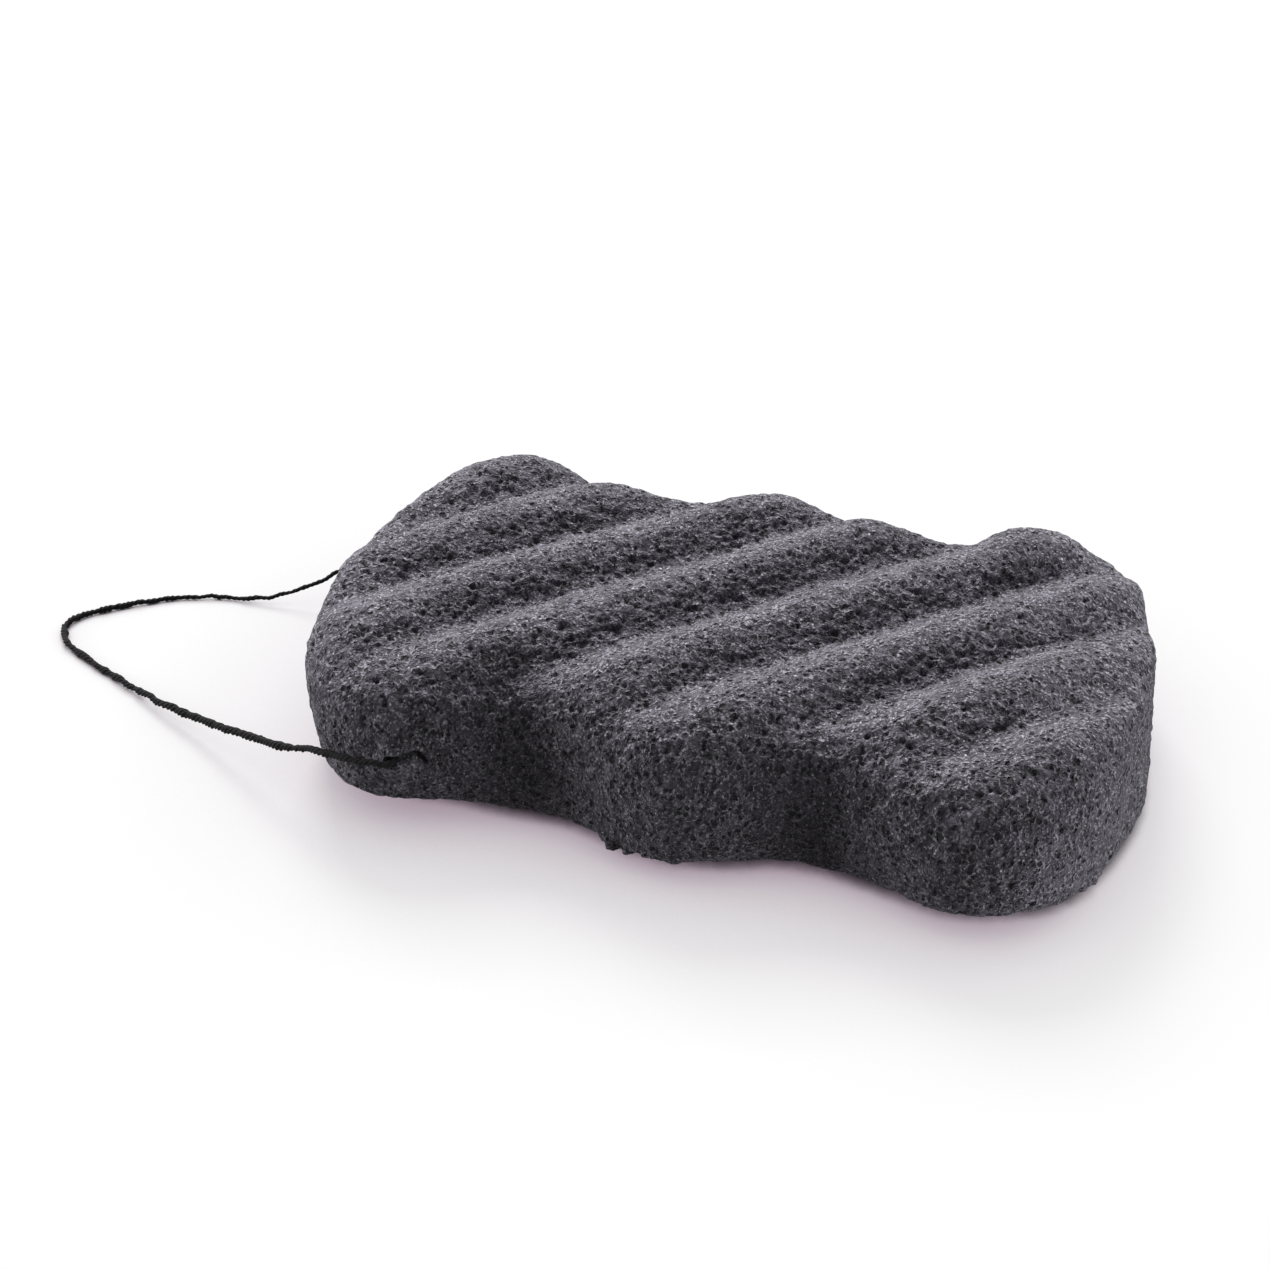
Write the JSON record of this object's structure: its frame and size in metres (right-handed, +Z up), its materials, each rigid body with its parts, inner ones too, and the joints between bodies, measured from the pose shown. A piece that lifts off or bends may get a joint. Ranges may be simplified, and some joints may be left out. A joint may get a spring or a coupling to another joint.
{
  "type": "konjac sponge",
  "caption": "Charcoal konjac body sponge with lobed sides, diagonal massage ridges, a flat underside and a thin black cord loop to hang it up.",
  "frame": {"origin": "middle of the flat underside that the sponge rests on, measured on the sponge without its free cord", "axes": "+X along the length, away from the end with the cord; +Y across the width, towards the back; +Z up through the ridged top"},
  "size_m": [0.1763, 0.0821, 0.028],
  "materials": {
    "konjac_foam": "matt open-pored konjac foam, charcoal grey",
    "cotton_cord": "twisted black cotton"
  },
  "bodies": {
    "root": {"sponge_body": "konjac_foam", "hanging_loop": "cotton_cord", "threaded_cord": "cotton_cord", "cord_knot": "cotton_cord"}
  },
  "joints": []
}
